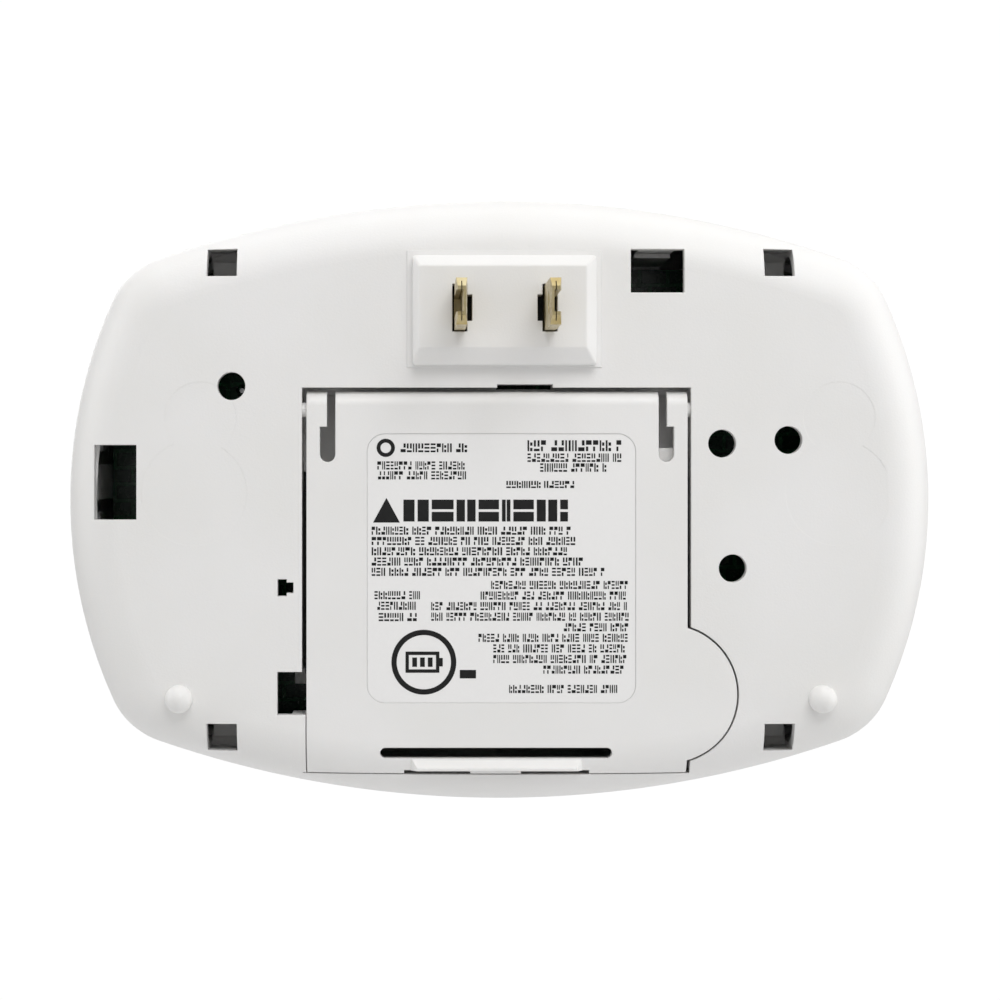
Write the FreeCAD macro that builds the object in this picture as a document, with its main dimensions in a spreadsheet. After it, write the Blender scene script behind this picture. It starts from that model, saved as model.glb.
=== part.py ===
"""Plug-in carbon monoxide detector with a battery backup, in millimetres.

Everything is laid out in the case frame: x to the right as seen from the front, y towards the wall
(0 at the flat back of the case), z up, origin at the centre of the case. Each sub-part's Placement
then moves it to the row frame, whose origin is on the plug's face, midway between the two blades.
"""
import FreeCAD, Part
import Sketcher
import math
import os
import re

V = FreeCAD.Vector
doc = FreeCAD.newDocument("carbon_monoxide_detector")
sheet = doc.addObject("Spreadsheet::Sheet", "Sizes")

SIZES = {
    # case outline: long arcs above and below, shorter arcs at the sides, small arcs at the corners
    "case_half_width": 61.95,
    "case_half_height": 43.1,
    "long_arc_radius": 150.0,
    "side_arc_radius": 70.0,
    "corner_arc_radius": 11.3,
    # case section
    "case_depth": 41.0,
    "back_cover_depth": 16.0,
    "back_wall": 2.2,
    "side_wall": 2.0,
    "back_rim_radius": 7.5,
    "front_rim_radius": 10.0,
    "parting_gap": 0.2,
    "lip_inset": 2.15,
    "lip_wall": 1.25,
    "front_wall": 2.2,
    # plug
    "plug_x": -0.5,
    "plug_z": 27.1,
    "pedestal_width": 27.6,
    "pedestal_height": 16.6,
    "pedestal_rise": 3.0,
    "pedestal_step": 0.12,
    "block_width": 26.0,
    "block_height": 15.5,
    "block_drop": 0.27,
    "bevel_rise": 1.3,
    "bevel_left": 1.45,
    "bevel_right": 0.9,
    "bevel_upper": 1.5,
    "bevel_lower": 2.45,
    "bevel_round": 0.5,
    "blade_spacing": 12.7,
    "blade_width": 6.35,
    "blade_thickness": 1.5,
    "blade_length": 17.0,
    "blade_web": 0.5,
    "blade_hem": 1.7,
    "blade_tip": 1.6,
    "blade_hole_radius": 1.6,
    "blade_hole_reach": 11.7,
    "blade_tail": 8.5,
    "blade_tab": 3.0,
    "slot_width": 2.1,
    "slot_height": 6.7,
    "slot_relief": 0.7,
    "slot_relief_height": 3.7,
    # battery door and its opening
    "door_left": -26.5,
    "door_right": 27.55,
    "door_bottom": -38.88,
    "latch_edge": -38.4,
    "door_top": 15.4,
    "lip_left": -11.6,
    "lip_right": 12.7,
    "lip_height": 1.78,
    "lip_rise": 0.9,
    "lip_end": 0.8,
    "lip_edge": 0.4,
    "door_wall": 2.0,
    "door_top_round": 1.9,
    "opening_left": -27.0,
    "opening_right": 28.2,
    "opening_bottom": -39.0,
    "opening_top": 15.95,
    "pin_radius": 1.05,
    "pin_clearance": 0.07,
    "pin_z": 12.8,
    "pin_depth": 1.6,
    "lobe_x": -23.7,
    "lobe_z": -27.6,
    "lobe_radius": 9.84,
    "lobe_gap": 0.26,
    "label_width": 38.0,
    "label_height": 38.1,
    "label_x": -0.1,
    "label_z": -9.7,
    "label_corner": 2.5,
    "label_recess": 0.15,
    "label_gap": 0.04,
    "label_thickness": 0.1,
    # battery bay
    "bay_wall": 1.5,
    "tray_depth": 6.0,
    "bay_floor": 21.0,
    "bay_skin": 1.2,
    "battery_length": 46.4,
    "battery_width": 26.5,
    "battery_thickness": 17.5,
    "battery_round": 2.0,
    "battery_end": 20.1,
    "battery_z": -10.75,
    "battery_depth": 3.2,
    "stud_height": 2.1,
    "stud_spacing": 12.7,
    "stud_radius": 2.9,
    "lead_hole_radius": 0.75,
    # openings and marks in the back
    "foot_x": 45.6,
    "foot_z": -28.2,
    "foot_radius": 1.96,
    "foot_shoulder": 0.95,
    "test_hole_radius": 1.98,
    "side_window_x": 54.7,
    "side_window_z": 2.5,
    "side_window_width": 6.05,
    "side_window_height": 10.6,
    "top_window_x": -22.25,
    "top_window_z": 32.5,
    "top_window_width": 7.6,
    "top_window_height": 6.15,
    "finger_notch_width": 4.1,
    "finger_notch_x": 29.65,
    "finger_notch_z": -27.45,
    "finger_notch_height": 6.1,
    "key_slot_x": 30.35,
    "key_slot_z": -12.45,
    "top_notch_x": -3.45,
    "top_notch_width": 7.9,
    "top_notch_height": 0.45,
    "mark_depth": 0.02,
    "mark_z": 1.0,
    "mark_radius": 7.5,
    "mark_neck_z": 11.65,
    "mark_neck_radius": 5.1,
    # circuit board
    "board_depth": 24.6,
    "board_thickness": 1.6,
    "board_inset": 2.6,
    "board_half_width": 57.7,
    "board_half_height": 34.4,
    # snap hooks at the four corners
    "hook_x": 39.6,
    "hook_z": 33.75,
    "hook_hole_width": 4.3,
    "hook_hole_height": 3.95,
    "hook_ledge_z": 34.7,
    "hook_ledge_depth": 10.5,
    "hook_ledge_thickness": 2.0,
    "hook_arm_z": 32.4,
    "hook_arm_width": 3.6,
    "hook_arm_end": 9.2,
    # hooks that hold the circuit board
    "clip_width": 5.2,
    "clip_wall": 1.4,
    "clip_side_x": 58.6,
    "clip_top_z": 35.7,
    # front: horn on one side, controls on the other
    "horn_x": -30.0,
    "horn_radius": 16.5,
    "piezo_radius": 13.5,
    "grille_radius": 15.5,
    "louvre_pitch": 4.2,
    "louvre_height": 2.0,
    "control_x": 28.0,
    "sensor_z": 20.0,
    "sensor_radius": 8.0,
    "light_z": 4.5,
    "light_pitch": 9.0,
    "light_radius": 2.0,
    "button_z": -14.0,
    "button_width": 26.4,
    "button_height": 12.4,
    "button_corner": 3.0,
    "button_gap": 0.3,
    "button_travel": 0.4,
}
for row, (alias, size) in enumerate(SIZES.items(), 1):
    sheet.set(f"A{row}", alias)
    sheet.set(f"B{row}", str(size))
    sheet.setAlias(f"B{row}", alias)
doc.recompute()

SUBPARTS = []


# ---------------------------------------------------------------- helpers

def bound(expression):
    """Expression text with every alias pointed at the spreadsheet."""
    return re.sub(r"[a-z]\w*", lambda m: "Sizes." + m[0] if m[0] in SIZES else m[0], str(expression))


def bind(obj, prop, expression):
    obj.setExpression(prop, bound(expression))


def mid(centre, width):
    """Range of the given width about a centre."""
    return f"({centre}) - ({width}) / 2", f"({centre}) + ({width}) / 2"


def block(x, y, z):
    """Box from three ranges."""
    box = doc.addObject("Part::Box", "Block")
    for prop, axis, (low, high) in (("Length", "x", x), ("Width", "y", y), ("Height", "z", z)):
        bind(box, prop, f"({high}) - ({low})")
        bind(box, "Placement.Base." + axis, low)
    return box


def along(obj, x, y, z):
    """Lays a round primitive along the one direction that is given as a range."""
    turns = {"x": FreeCAD.Rotation(V(0, 1, 0), 90), "y": FreeCAD.Rotation(V(1, 0, 0), -90),
             "z": FreeCAD.Rotation()}
    places = {"x": x, "y": y, "z": z}
    direction = [axis for axis in "xyz" if isinstance(places[axis], tuple)][0]
    low, high = places[direction]
    obj.Placement = FreeCAD.Placement(V(), turns[direction])
    bind(obj, "Height", f"({high}) - ({low})")
    places[direction] = low
    for axis in "xyz":
        bind(obj, "Placement.Base." + axis, places[axis])
    return obj


def rod(x, y, z, radius):
    """Cylinder along whichever of x, y, z is a range."""
    cylinder = doc.addObject("Part::Cylinder", "Rod")
    bind(cylinder, "Radius", radius)
    return along(cylinder, x, y, z)


def taper(x, y, z, low_radius, high_radius):
    cone = doc.addObject("Part::Cone", "Taper")
    bind(cone, "Radius1", low_radius)
    bind(cone, "Radius2", high_radius)
    return along(cone, x, y, z)


def ball(x, y, z, radius):
    sphere = doc.addObject("Part::Sphere", "Ball")
    bind(sphere, "Radius", radius)
    for axis, place in (("x", x), ("y", y), ("z", z)):
        bind(sphere, "Placement.Base." + axis, place)
    return sphere


def fuse(shapes):
    if len(shapes) == 1:
        return shapes[0]
    joined = doc.addObject("Part::MultiFuse", "Joined")
    joined.Shapes = shapes
    return joined


def cut(base, tools):
    less = doc.addObject("Part::Cut", "Less")
    less.Base = base
    less.Tool = fuse(tools)
    return less


def common(base, tool):
    shared = doc.addObject("Part::Common", "Shared")
    shared.Base = base
    shared.Tool = tool
    return shared


def slot(x, y, z, height):
    """Cutter for a round-ended slot along x."""
    ends = [rod(f"({x[0]}) + ({height}) / 2", y, z, f"({height}) / 2"),
            rod(f"({x[1]}) - ({height}) / 2", y, z, f"({height}) / 2")]
    middle = block((f"({x[0]}) + ({height}) / 2", f"({x[1]}) - ({height}) / 2"), y, mid(z, height))
    return fuse(ends + [middle])


def edges_where(shape, test):
    return [f"Edge{number}" for number, edge in enumerate(shape.Edges, 1) if test(edge.BoundBox)]


def rounded_plate(x, y, z, corner):
    """Box with its four edges along y rounded."""
    body = doc.addObject("PartDesign::Body", "RoundedPlate")
    plate = body.newObject("PartDesign::AdditiveBox", "Plate")
    for prop, axis, (low, high) in (("Length", "x", x), ("Width", "y", y), ("Height", "z", z)):
        bind(plate, prop, f"({high}) - ({low})")
        bind(plate, "Placement.Base." + axis, low)
    doc.recompute()
    upright = edges_where(plate.Shape, lambda b: b.YLength > 1e-6)
    fillet = body.newObject("PartDesign::Fillet", "Corners")
    fillet.Base = (plate, upright)
    bind(fillet, "Radius", corner)
    doc.recompute()
    return body


def corner_centre():
    """Centre of the corner arc that touches the long arc and the side arc from inside."""
    low = SIZES["case_half_height"] - SIZES["long_arc_radius"]
    side = SIZES["case_half_width"] - SIZES["side_arc_radius"]
    long_reach = SIZES["long_arc_radius"] - SIZES["corner_arc_radius"]
    side_reach = SIZES["side_arc_radius"] - SIZES["corner_arc_radius"]
    span = math.hypot(side, low)
    along_span = (long_reach ** 2 - side_reach ** 2 + span ** 2) / (2 * span)
    across_span = math.sqrt(long_reach ** 2 - along_span ** 2)
    x = (along_span * side - across_span * low) / span
    z = low - (along_span * low + across_span * side) / span
    return x, z


def outline(sketch, insets):
    """Eight tangent arcs, anticlockwise: the case outline, brought in by the sum of the insets."""
    brought_in = sum(SIZES[inset] for inset in insets)
    low = SIZES["case_half_height"] - SIZES["long_arc_radius"]
    side = SIZES["case_half_width"] - SIZES["side_arc_radius"]
    x, z = corner_centre()
    steep = math.degrees(math.atan2(z - low, x))
    shallow = math.degrees(math.atan2(z, x - side))
    arcs = [
        ("corner_arc_radius", x, z, shallow, steep),
        ("long_arc_radius", 0, low, steep, 180 - steep),
        ("corner_arc_radius", -x, z, 180 - steep, 180 - shallow),
        ("side_arc_radius", -side, 0, 180 - shallow, 180 + shallow),
        ("corner_arc_radius", -x, -z, 180 + shallow, 180 + steep),
        ("long_arc_radius", 0, -low, 180 + steep, 360 - steep),
        ("corner_arc_radius", x, -z, 360 - steep, 360 - shallow),
        ("side_arc_radius", side, 0, -shallow, shallow),
    ]
    for radius, x, z, first, last in arcs:
        circle = Part.Circle(V(x, z, 0), V(0, 0, 1), SIZES[radius] - brought_in)
        sketch.addGeometry(Part.ArcOfCircle(circle, math.radians(first), math.radians(last)), False)
    for number in range(8):
        sketch.addConstraint(Sketcher.Constraint("Tangent", number, 2, (number + 1) % 8, 1))
    for number, (radius, x, z, _, _) in enumerate(arcs):
        size = sketch.addConstraint(Sketcher.Constraint("Radius", number, SIZES[radius] - brought_in))
        bind(sketch, f"Constraints[{size}]", " - ".join([radius, *insets]))
        if radius == "long_arc_radius":
            sketch.addConstraint(Sketcher.Constraint("PointOnObject", number, 3, -2))
            place = sketch.addConstraint(Sketcher.Constraint("DistanceY", -1, 1, number, 3, z))
            sign = "" if z < 0 else "-"
            bind(sketch, f"Constraints[{place}]", sign + "(case_half_height - long_arc_radius)")
        if radius == "side_arc_radius":
            sketch.addConstraint(Sketcher.Constraint("PointOnObject", number, 3, -1))
            place = sketch.addConstraint(Sketcher.Constraint("DistanceX", -1, 1, number, 3, x))
            sign = "" if x < 0 else "-"
            bind(sketch, f"Constraints[{place}]", sign + "(case_half_width - side_arc_radius)")


def blank(back, front, insets=(), back_round=None, front_round=None):
    """Solid with the case outline between two depths, with its rims rounded on request."""
    body = doc.addObject("PartDesign::Body", "Blank")
    sketch = body.newObject("Sketcher::SketchObject", "Outline")
    plane = [feature for feature in body.Origin.OriginFeatures if feature.Role == "XZ_Plane"][0]
    sketch.AttachmentSupport = [(plane, "")]
    sketch.MapMode = "FlatFace"
    bind(sketch, "AttachmentOffset.Base.z", back)
    outline(sketch, insets)
    pad = body.newObject("PartDesign::Pad", "Thickness")
    pad.Profile = sketch
    bind(pad, "Length", f"({front}) - ({back})")
    doc.recompute()
    for radius, face in ((back_round, "YMin"), (front_round, "YMax")):
        if radius is None:
            continue
        tip = body.Tip
        level = -pad.Shape.BoundBox.YMax if face == "YMin" else -pad.Shape.BoundBox.YMin
        rim = edges_where(tip.Shape, lambda b: abs(b.YMin + level) < 1e-4 and b.YLength < 1e-4)
        fillet = body.newObject("PartDesign::Fillet", "Rim")
        fillet.Base = (tip, rim)
        bind(fillet, "Radius", radius)
        doc.recompute()
    return body


def subpart(label, shapes, tools=()):
    """Joins the shapes, cuts the tools out of them and gives the piece its name and place."""
    solid = fuse(shapes)
    if tools:
        solid = cut(solid, list(tools))
    piece = doc.addObject("Part::Compound", "Piece")
    piece.Links = [solid]
    piece.Label = label
    bind(piece, "Placement.Base.x", "-plug_x")
    bind(piece, "Placement.Base.y", "-pedestal_rise")
    bind(piece, "Placement.Base.z", "-plug_z")
    SUBPARTS.append(piece)
    return piece


def lead(label, points, radius, bend):
    """Insulated wire: straight runs joined by tangent arcs of one bend radius."""
    edges = []
    start = V(*points[0])
    for before, corner, after in zip(points, points[1:], points[2:]):
        corner = V(*corner)
        arriving = (corner - V(*before)).normalize()
        leaving = (V(*after) - corner).normalize()
        half_turn = arriving.getAngle(leaving) / 2
        trim = bend * math.tan(half_turn)
        enter = corner - arriving * trim
        leave = corner + leaving * trim
        inward = (leaving - arriving).normalize()
        crown = corner + inward * (bend / math.cos(half_turn) - bend)
        edges.append(Part.LineSegment(start, enter).toShape())
        edges.append(Part.Arc(enter, crown, leave).toShape())
        start = leave
    edges.append(Part.LineSegment(start, V(*points[-1])).toShape())
    route = Part.Wire(edges)
    heading = (V(*points[1]) - V(*points[0])).normalize()
    section = Part.Wire(Part.makeCircle(radius, V(*points[0]), heading))
    tube = doc.addObject("Part::Feature", "Lead")
    tube.Shape = route.makePipeShell([section], True, False)
    expected = math.pi * radius ** 2 * route.Length
    print(f"{label}: bend radius {bend:.1f}, volume ratio {tube.Shape.Volume / expected:.3f}")
    return subpart(label, [tube])


BACK_FACE = "0"
FRONT_FACE = "-case_depth"
BOARD_BACK = "-board_depth"
BOARD_FRONT = "-(board_depth + board_thickness)"
FRONT_INSIDE = "-(case_depth - front_wall)"
THROUGH_BACK = ("-back_wall - 1", "1")
TEST_HOLES = [(38.2, 16.15), (-31.4, 8.0), (-40.8, 8.5), (-32.9, -9.7)]
KEYHOLE_MARKS = [(-47.9, -48.0), (43.5, 42.6)]
CORNERS = [(x, z) for x in (-1, 1) for z in (-1, 1)]
LEAD_DEPTH = -16


# ---------------------------------------------------------------- back cover

def pedestal():
    """Plug base: a plate that stands just proud, then a block with four unequal soft bevels."""
    base = block(mid("plug_x", "pedestal_width"), ("-1", "pedestal_step"), mid("plug_z", "pedestal_height"))
    x_low, x_high = mid("plug_x", "block_width")
    z_low, z_high = mid("plug_z - block_drop", "block_height")
    shoulder = "(pedestal_rise - bevel_rise)"
    upright = block((x_low, x_high), ("0", shoulder), (z_low, z_high))
    bevel = doc.addObject("Part::Wedge", "Bevel")
    for prop, size in (("Xmin", x_low), ("Xmax", x_high), ("Zmin", z_low), ("Zmax", z_high),
                       ("Ymin", shoulder), ("Ymax", "pedestal_rise"),
                       ("X2min", f"{x_low} + bevel_left"), ("X2max", f"{x_high} - bevel_right"),
                       ("Z2min", f"{z_low} + bevel_lower"), ("Z2max", f"{z_high} - bevel_upper")):
        bind(bevel, prop, size)
    raised = fuse([upright, bevel])
    doc.recompute()
    soft = doc.addObject("Part::Fillet", "SoftBlock")
    soft.Base = raised
    corners = [number for number, edge in enumerate(raised.Shape.Edges, 1)
               if edge.BoundBox.YMax > SIZES["pedestal_rise"] - SIZES["bevel_rise"] - 1e-6]
    soft.Edges = [(number, SIZES["bevel_round"], SIZES["bevel_round"]) for number in corners]
    doc.recompute()
    return [base, soft]


def blade_slots():
    """Blade openings, each with a relief towards the middle of the plug."""
    depth = ("-back_wall - 1", "pedestal_rise + 1")
    cutters = []
    for side in (-1, 1):
        centre = f"plug_x + {side} * blade_spacing / 2"
        cutters.append(block(mid(centre, "slot_width"), depth, mid("plug_z", "slot_height")))
        relief = f"{centre} - {side} * (slot_width / 2 + slot_relief / 2 - 0.1)"
        cutters.append(block(mid(relief, "slot_relief + 0.2"), depth, mid("plug_z", "slot_relief_height")))
    return cutters


def bay_tray(grow, low, high):
    """Shallow tray under the door, grown by its wall thickness."""
    return block((f"opening_left - {grow}", f"opening_right + {grow}"), (low, high),
                 (f"opening_bottom - {grow}", f"opening_top + {grow}"))


def bay_well(grow, low, high):
    """Deep well that holds the battery."""
    room = "(battery_width + 3)"
    return block((f"opening_left - {grow}", f"opening_right + {grow}"), (low, high),
                 mid("battery_z", f"{room} + 2 * {grow}"))


def board_clips():
    """Two hooks that reach from the back to the circuit board's side and top edges."""
    nose = ("-(board_depth + board_thickness + 2)", "-(board_depth + board_thickness + 0.1)")
    arm = ("-(board_depth + board_thickness + 2)", "-1.5")
    low_arm = (arm[0], "-3")
    side_arm = mid("clip_side_x", "clip_wall")
    side_nose = (f"{side_arm[0]} - 1.05", f"{side_arm[0]} + 0.05")
    side_run = mid("side_window_z", "clip_width")
    top_arm = mid("clip_top_z", "clip_wall")
    top_nose = (f"{top_arm[0]} - 1.0", f"{top_arm[0]} + 0.1")
    top_run = mid("top_window_x", "clip_width")
    return [block(side_arm, low_arm, side_run), block(side_nose, nose, side_run),
            block(top_run, arm, top_arm), block(top_run, nose, top_nose)]


def back_openings():
    """Cutters for the hook holes, test holes, windows, notches and shallow marks in the back."""
    cutters = []
    for x, z in CORNERS:
        cutters.append(block(mid(f"{x} * hook_x", "hook_hole_width"), ("-hook_ledge_depth + 0.1", "1"),
                             mid(f"{z} * hook_z", "hook_hole_height")))
    for x, z in TEST_HOLES:
        cutters.append(rod(str(x), THROUGH_BACK, str(z), "test_hole_radius"))
    cutters.append(block(mid("side_window_x", "side_window_width"), THROUGH_BACK,
                         mid("side_window_z", "side_window_height")))
    cutters.append(block(mid("top_window_x", "top_window_width"), ("-9", "1"),
                         mid("top_window_z", "top_window_height")))
    cutters.append(block(mid("finger_notch_x", "finger_notch_width"), ("-12", "1"),
                         mid("finger_notch_z", "finger_notch_height")))
    # stepped key slot beside the door
    cutters.append(block(("key_slot_x", "key_slot_x + 1.3"), ("-8", "1"), mid("key_slot_z", "2.4")))
    cutters.append(block(("key_slot_x - 0.95", "key_slot_x + 0.1"), ("-8", "1"), mid("key_slot_z", "1.5")))
    cutters.append(block(mid("top_notch_x", "top_notch_width"), ("-9", "1"),
                         ("opening_top - 0.1", "opening_top + top_notch_height")))
    for x, neck_x in KEYHOLE_MARKS:
        cutters.append(fuse([rod(str(x), ("-mark_depth", "1"), "mark_z", "mark_radius"),
                             rod(str(neck_x), ("-mark_depth", "1"), "mark_neck_z", "mark_neck_radius")]))
    return cutters


def back_cover():
    case = blank(BACK_FACE, "back_cover_depth", (), "back_rim_radius")
    inside = blank("back_wall", "back_cover_depth + 1", ("side_wall",), "back_rim_radius - side_wall")
    shell = cut(case, [inside])
    tray = common(case, bay_tray("bay_wall", "-(tray_depth + bay_skin)", "1"))
    well = bay_well("bay_wall", "-(bay_floor + bay_skin)", "-tray_depth")
    lobe_floor = rod("lobe_x", ("-(door_wall + 2.4)", "-1"), "lobe_z", "lobe_radius + lobe_gap + 1.4")
    pieces = [shell, tray, well, common(case, lobe_floor)] + pedestal()
    for side in (-1, 1):
        pieces.append(rod(f"{side} * foot_x", ("-1", "foot_shoulder"), "foot_z", "foot_radius"))
        pieces.append(ball(f"{side} * foot_x", "foot_shoulder - 0.01", "foot_z", "foot_radius"))
    # ledges that the front cover's corner hooks catch
    ledge = ("-(hook_ledge_depth + hook_ledge_thickness)", "-hook_ledge_depth")
    for x, z in CORNERS:
        pieces.append(block(mid(f"{x} * hook_x", "hook_hole_width"), ledge,
                            mid(f"{z} * hook_ledge_z", "2.6")))
    pieces += board_clips()

    # the opening narrows to a close fit below the finger notch
    close_fit = block(("door_right + 0.12", "opening_right + 1"), ("-3", "0"),
                      ("opening_bottom - 1", "finger_notch_z - finger_notch_height / 2"))
    # pad close under the end of the door's slot that has no window behind it
    pad = block(("-25.5", "-21.5"), ("-tray_depth - 1", "-2.4"), ("3.5", "7.4"))
    tools = [cut(bay_tray("0", "-tray_depth", "1"), [close_fit, pad]),
             bay_well("0", "-bay_floor", "-tray_depth + 1")]
    # windows in the tray's floor: one below the battery well, two behind the door's slots
    floor = ("-tray_depth - bay_skin - 1", "-tray_depth + 1")
    for x_low, x_high, z_low, z_high in ((-17, 18, -38, -27.5), (-26, -20, 7.4, 15), (21.2, 27.2, 4.8, 15)):
        tools.append(block((str(x_low), str(x_high)), floor, (str(z_low), str(z_high))))
    tools.append(rod("lobe_x", ("-(door_wall + 0.4)", "1"), "lobe_z", "lobe_radius + lobe_gap"))
    tools += blade_slots() + back_openings()
    # bores for the hinge pins
    bore = "pin_radius + pin_clearance"
    tools.append(rod(("opening_right - 0.1", "opening_right + 1.15"), "-pin_depth", "pin_z", bore))
    tools.append(rod(("opening_left - 1.15", "opening_left + 0.1"), "-pin_depth", "pin_z", bore))
    # bores for the battery leads
    for side in (-1, 1):
        tools.append(rod(("opening_right - 0.1", "opening_right + bay_wall + 0.1"), str(LEAD_DEPTH),
                         f"battery_z + {side} * stud_spacing / 2", "lead_hole_radius"))
    return subpart("back_cover", pieces, tools)


# ---------------------------------------------------------------- front cover and button

def corner_hook(x, z):
    """Snap arm that reaches back to a corner ledge, with its nose turned outwards."""
    width = mid(f"{x} * hook_x", "hook_arm_width")
    arm = block(width, (FRONT_INSIDE + " + 0.6", "-hook_arm_end"), mid(f"{z} * hook_arm_z", "1.5"))
    nose = block(width, ("-hook_ledge_depth + 0.2", "-hook_arm_end"),
                 mid(f"{z} * (hook_arm_z + 1.3)", "1.4"))
    return [arm, nose]


def front_cover():
    case = blank("back_cover_depth + parting_gap", "case_depth", (), None, "front_rim_radius")
    inside = blank("back_cover_depth - 1", "case_depth - front_wall", ("lip_inset", "parting_gap"),
                   None, "front_rim_radius - lip_inset - parting_gap")
    lip = cut(blank("back_cover_depth - 1.4", "back_cover_depth + 2.5", ("lip_inset",)),
              [blank("back_cover_depth - 2", "back_cover_depth + 3", ("lip_inset", "lip_wall"))])
    lip_relief = block(("50", "61"), ("-21", "-10"), mid("2.5", "9"))
    pieces = [cut(case, [inside]), cut(lip, [lip_relief])]
    for x, z in CORNERS:
        pieces += corner_hook(x, z)
        pieces.append(rod(f"{x} * 52", (FRONT_INSIDE + " - 0.5", BOARD_FRONT + " - 0.05"),
                          f"{z} * 16", "2"))

    through = (FRONT_FACE + " - 1", FRONT_INSIDE + " + 1")
    tools = []
    for step in range(-3, 4):
        z = step * SIZES["louvre_pitch"]
        half = math.sqrt(SIZES["grille_radius"] ** 2 - z ** 2)
        tools.append(slot((f"horn_x - {half:.2f}", f"horn_x + {half:.2f}"), through,
                          f"{step} * louvre_pitch", "louvre_height"))
    for step in (-1, 0, 1):
        tools.append(slot(mid("control_x", "16"), through, f"sensor_z + {step} * 3.4", "1.6"))
        tools.append(rod(f"control_x + {step} * light_pitch", through, "light_z", "light_radius"))
    tools.append(rounded_plate(mid("control_x", "button_width + 2 * button_gap"), through,
                               mid("button_z", "button_height + 2 * button_gap"),
                               "button_corner + button_gap"))
    return subpart("front_cover", pieces, tools)


def test_button():
    """Button cap with a flange that stops it behind the cover, and a stem down to the switch."""
    cap = rounded_plate(mid("control_x", "button_width"), (FRONT_FACE + " - 0.8", FRONT_INSIDE + " + 0.8"),
                        mid("button_z", "button_height"), "button_corner")
    flange = rounded_plate(mid("control_x", "button_width + 2.4"),
                           (FRONT_INSIDE + " + 0.15", FRONT_INSIDE + " + 1.2"),
                           mid("button_z", "button_height + 2.4"), "button_corner")
    stem = rod("control_x", (FRONT_INSIDE + " + 1", "-31.55"), "button_z", "2.2")
    return subpart("test_button", [cap, flange, stem])


def light_pipes():
    for step, name in ((-1, "light_pipe_power"), (0, "light_pipe_alarm"), (1, "light_pipe_battery")):
        x = f"control_x + {step} * light_pitch"
        stalk = rod(x, (FRONT_FACE + " - 0.2", "-33"), "light_z", "light_radius")
        flange = rod(x, (FRONT_INSIDE, FRONT_INSIDE + " + 0.9"), "light_z", "light_radius + 0.7")
        subpart(name, [stalk, flange])


# ---------------------------------------------------------------- battery door

def latch_lip():
    """Finger lip along the latch beam: a low base, then a wedge that slopes up and in at its ends."""
    low = "latch_edge + 0.02"
    high = "latch_edge + lip_height"
    foot = "-0.3"
    base = block(("lip_left", "lip_right"), ("-1.6", foot), (low, high))
    wedge = doc.addObject("Part::Wedge", "Lip")
    for prop, size in (("Xmin", "lip_left"), ("Xmax", "lip_right"), ("Zmin", low), ("Zmax", high),
                       ("Ymin", foot), ("Ymax", "lip_rise"), ("X2min", "lip_left + lip_end"),
                       ("X2max", "lip_right - lip_end"), ("Z2min", low), ("Z2max", f"{low} + lip_edge")):
        bind(wedge, prop, size)
    return [base, wedge]


def battery_door():
    """Door plate that follows the case's rounded rim, with hinge arms above and a latch beam below."""
    case = blank(BACK_FACE, "back_cover_depth", (), "back_rim_radius")
    inside = blank("door_wall", "back_cover_depth", ("door_wall",), "back_rim_radius - door_wall")
    plate = block(("door_left", "door_right"), ("-4.5", "1"), ("door_bottom", "door_top"))
    lobe = rod("lobe_x", ("-door_wall", "1"), "lobe_z", "lobe_radius")
    pieces = [cut(common(case, plate), [inside]), common(case, lobe)]
    for rib_z in ("-4.5", "-17"):
        pieces.append(block(("-20", "20"), ("-3", "-1.5"), mid(rib_z, "1.2")))
    # hinge knuckles and pins
    for edge, side in (("door_right", 1), ("door_left", -1)):
        inner = f"{edge} - {side} * 2.6"
        ends = (inner, edge) if side > 0 else (edge, inner)
        pieces.append(block(ends, ("-3.1", "-1"), mid("pin_z", "2.9")))
        tip = f"{edge} + {side} * 1.5"
        pieces.append(rod((inner, tip) if side > 0 else (tip, inner), "-pin_depth", "pin_z", "pin_radius"))
    pieces += latch_lip()

    # the beam's free edge stands back from the opening, except at the tongue in its middle
    tools = [block(("-12.6", "-2.9"), ("-5", "1"), ("door_bottom - 0.1", "latch_edge")),
             block(("4.3", "13.7"), ("-5", "1"), ("door_bottom - 0.1", "latch_edge"))]
    for edge, side in (("door_right", -1), ("door_left", 1)):
        for near, far, low, high in (("2.9", "4.1", "5", "-1"), ("1.9", "4.1", "8.9", "5")):
            ends = (f"{edge} + {side} * {near}", f"{edge} + {side} * {far}")
            tools.append(block(ends if side > 0 else ends[::-1], ("-4", "1"),
                               (f"door_top - {low}", f"door_top - ({high})")))
        tools.append(rod(f"{edge} + {side} * 3", ("-4", "1"), "door_top - 8.9", "1.1"))
    tools.append(slot(("-15.8", "17.1"), ("-4", "2"), "-35.9", "1.5"))
    over = block(("door_left - 1", "door_right + 1"), ("-door_top_round", "1"),
                 ("door_top - door_top_round", "door_top + 1"))
    core = rod(("door_left - 2", "door_right + 2"), "-door_top_round", "door_top - door_top_round",
               "door_top_round")
    tools.append(cut(over, [core]))
    tools.append(rounded_plate(mid("label_x", "label_width + 2 * label_gap"), ("-label_recess", "1"),
                               mid("label_z", "label_height + 2 * label_gap"), "label_corner + label_gap"))
    return subpart("battery_door", pieces, tools)


def door_label():
    return subpart("door_label", [rounded_plate(mid("label_x", "label_width"),
                                                ("-label_recess", "-label_recess + label_thickness"),
                                                mid("label_z", "label_height"), "label_corner")])


# ---------------------------------------------------------------- plug

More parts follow.
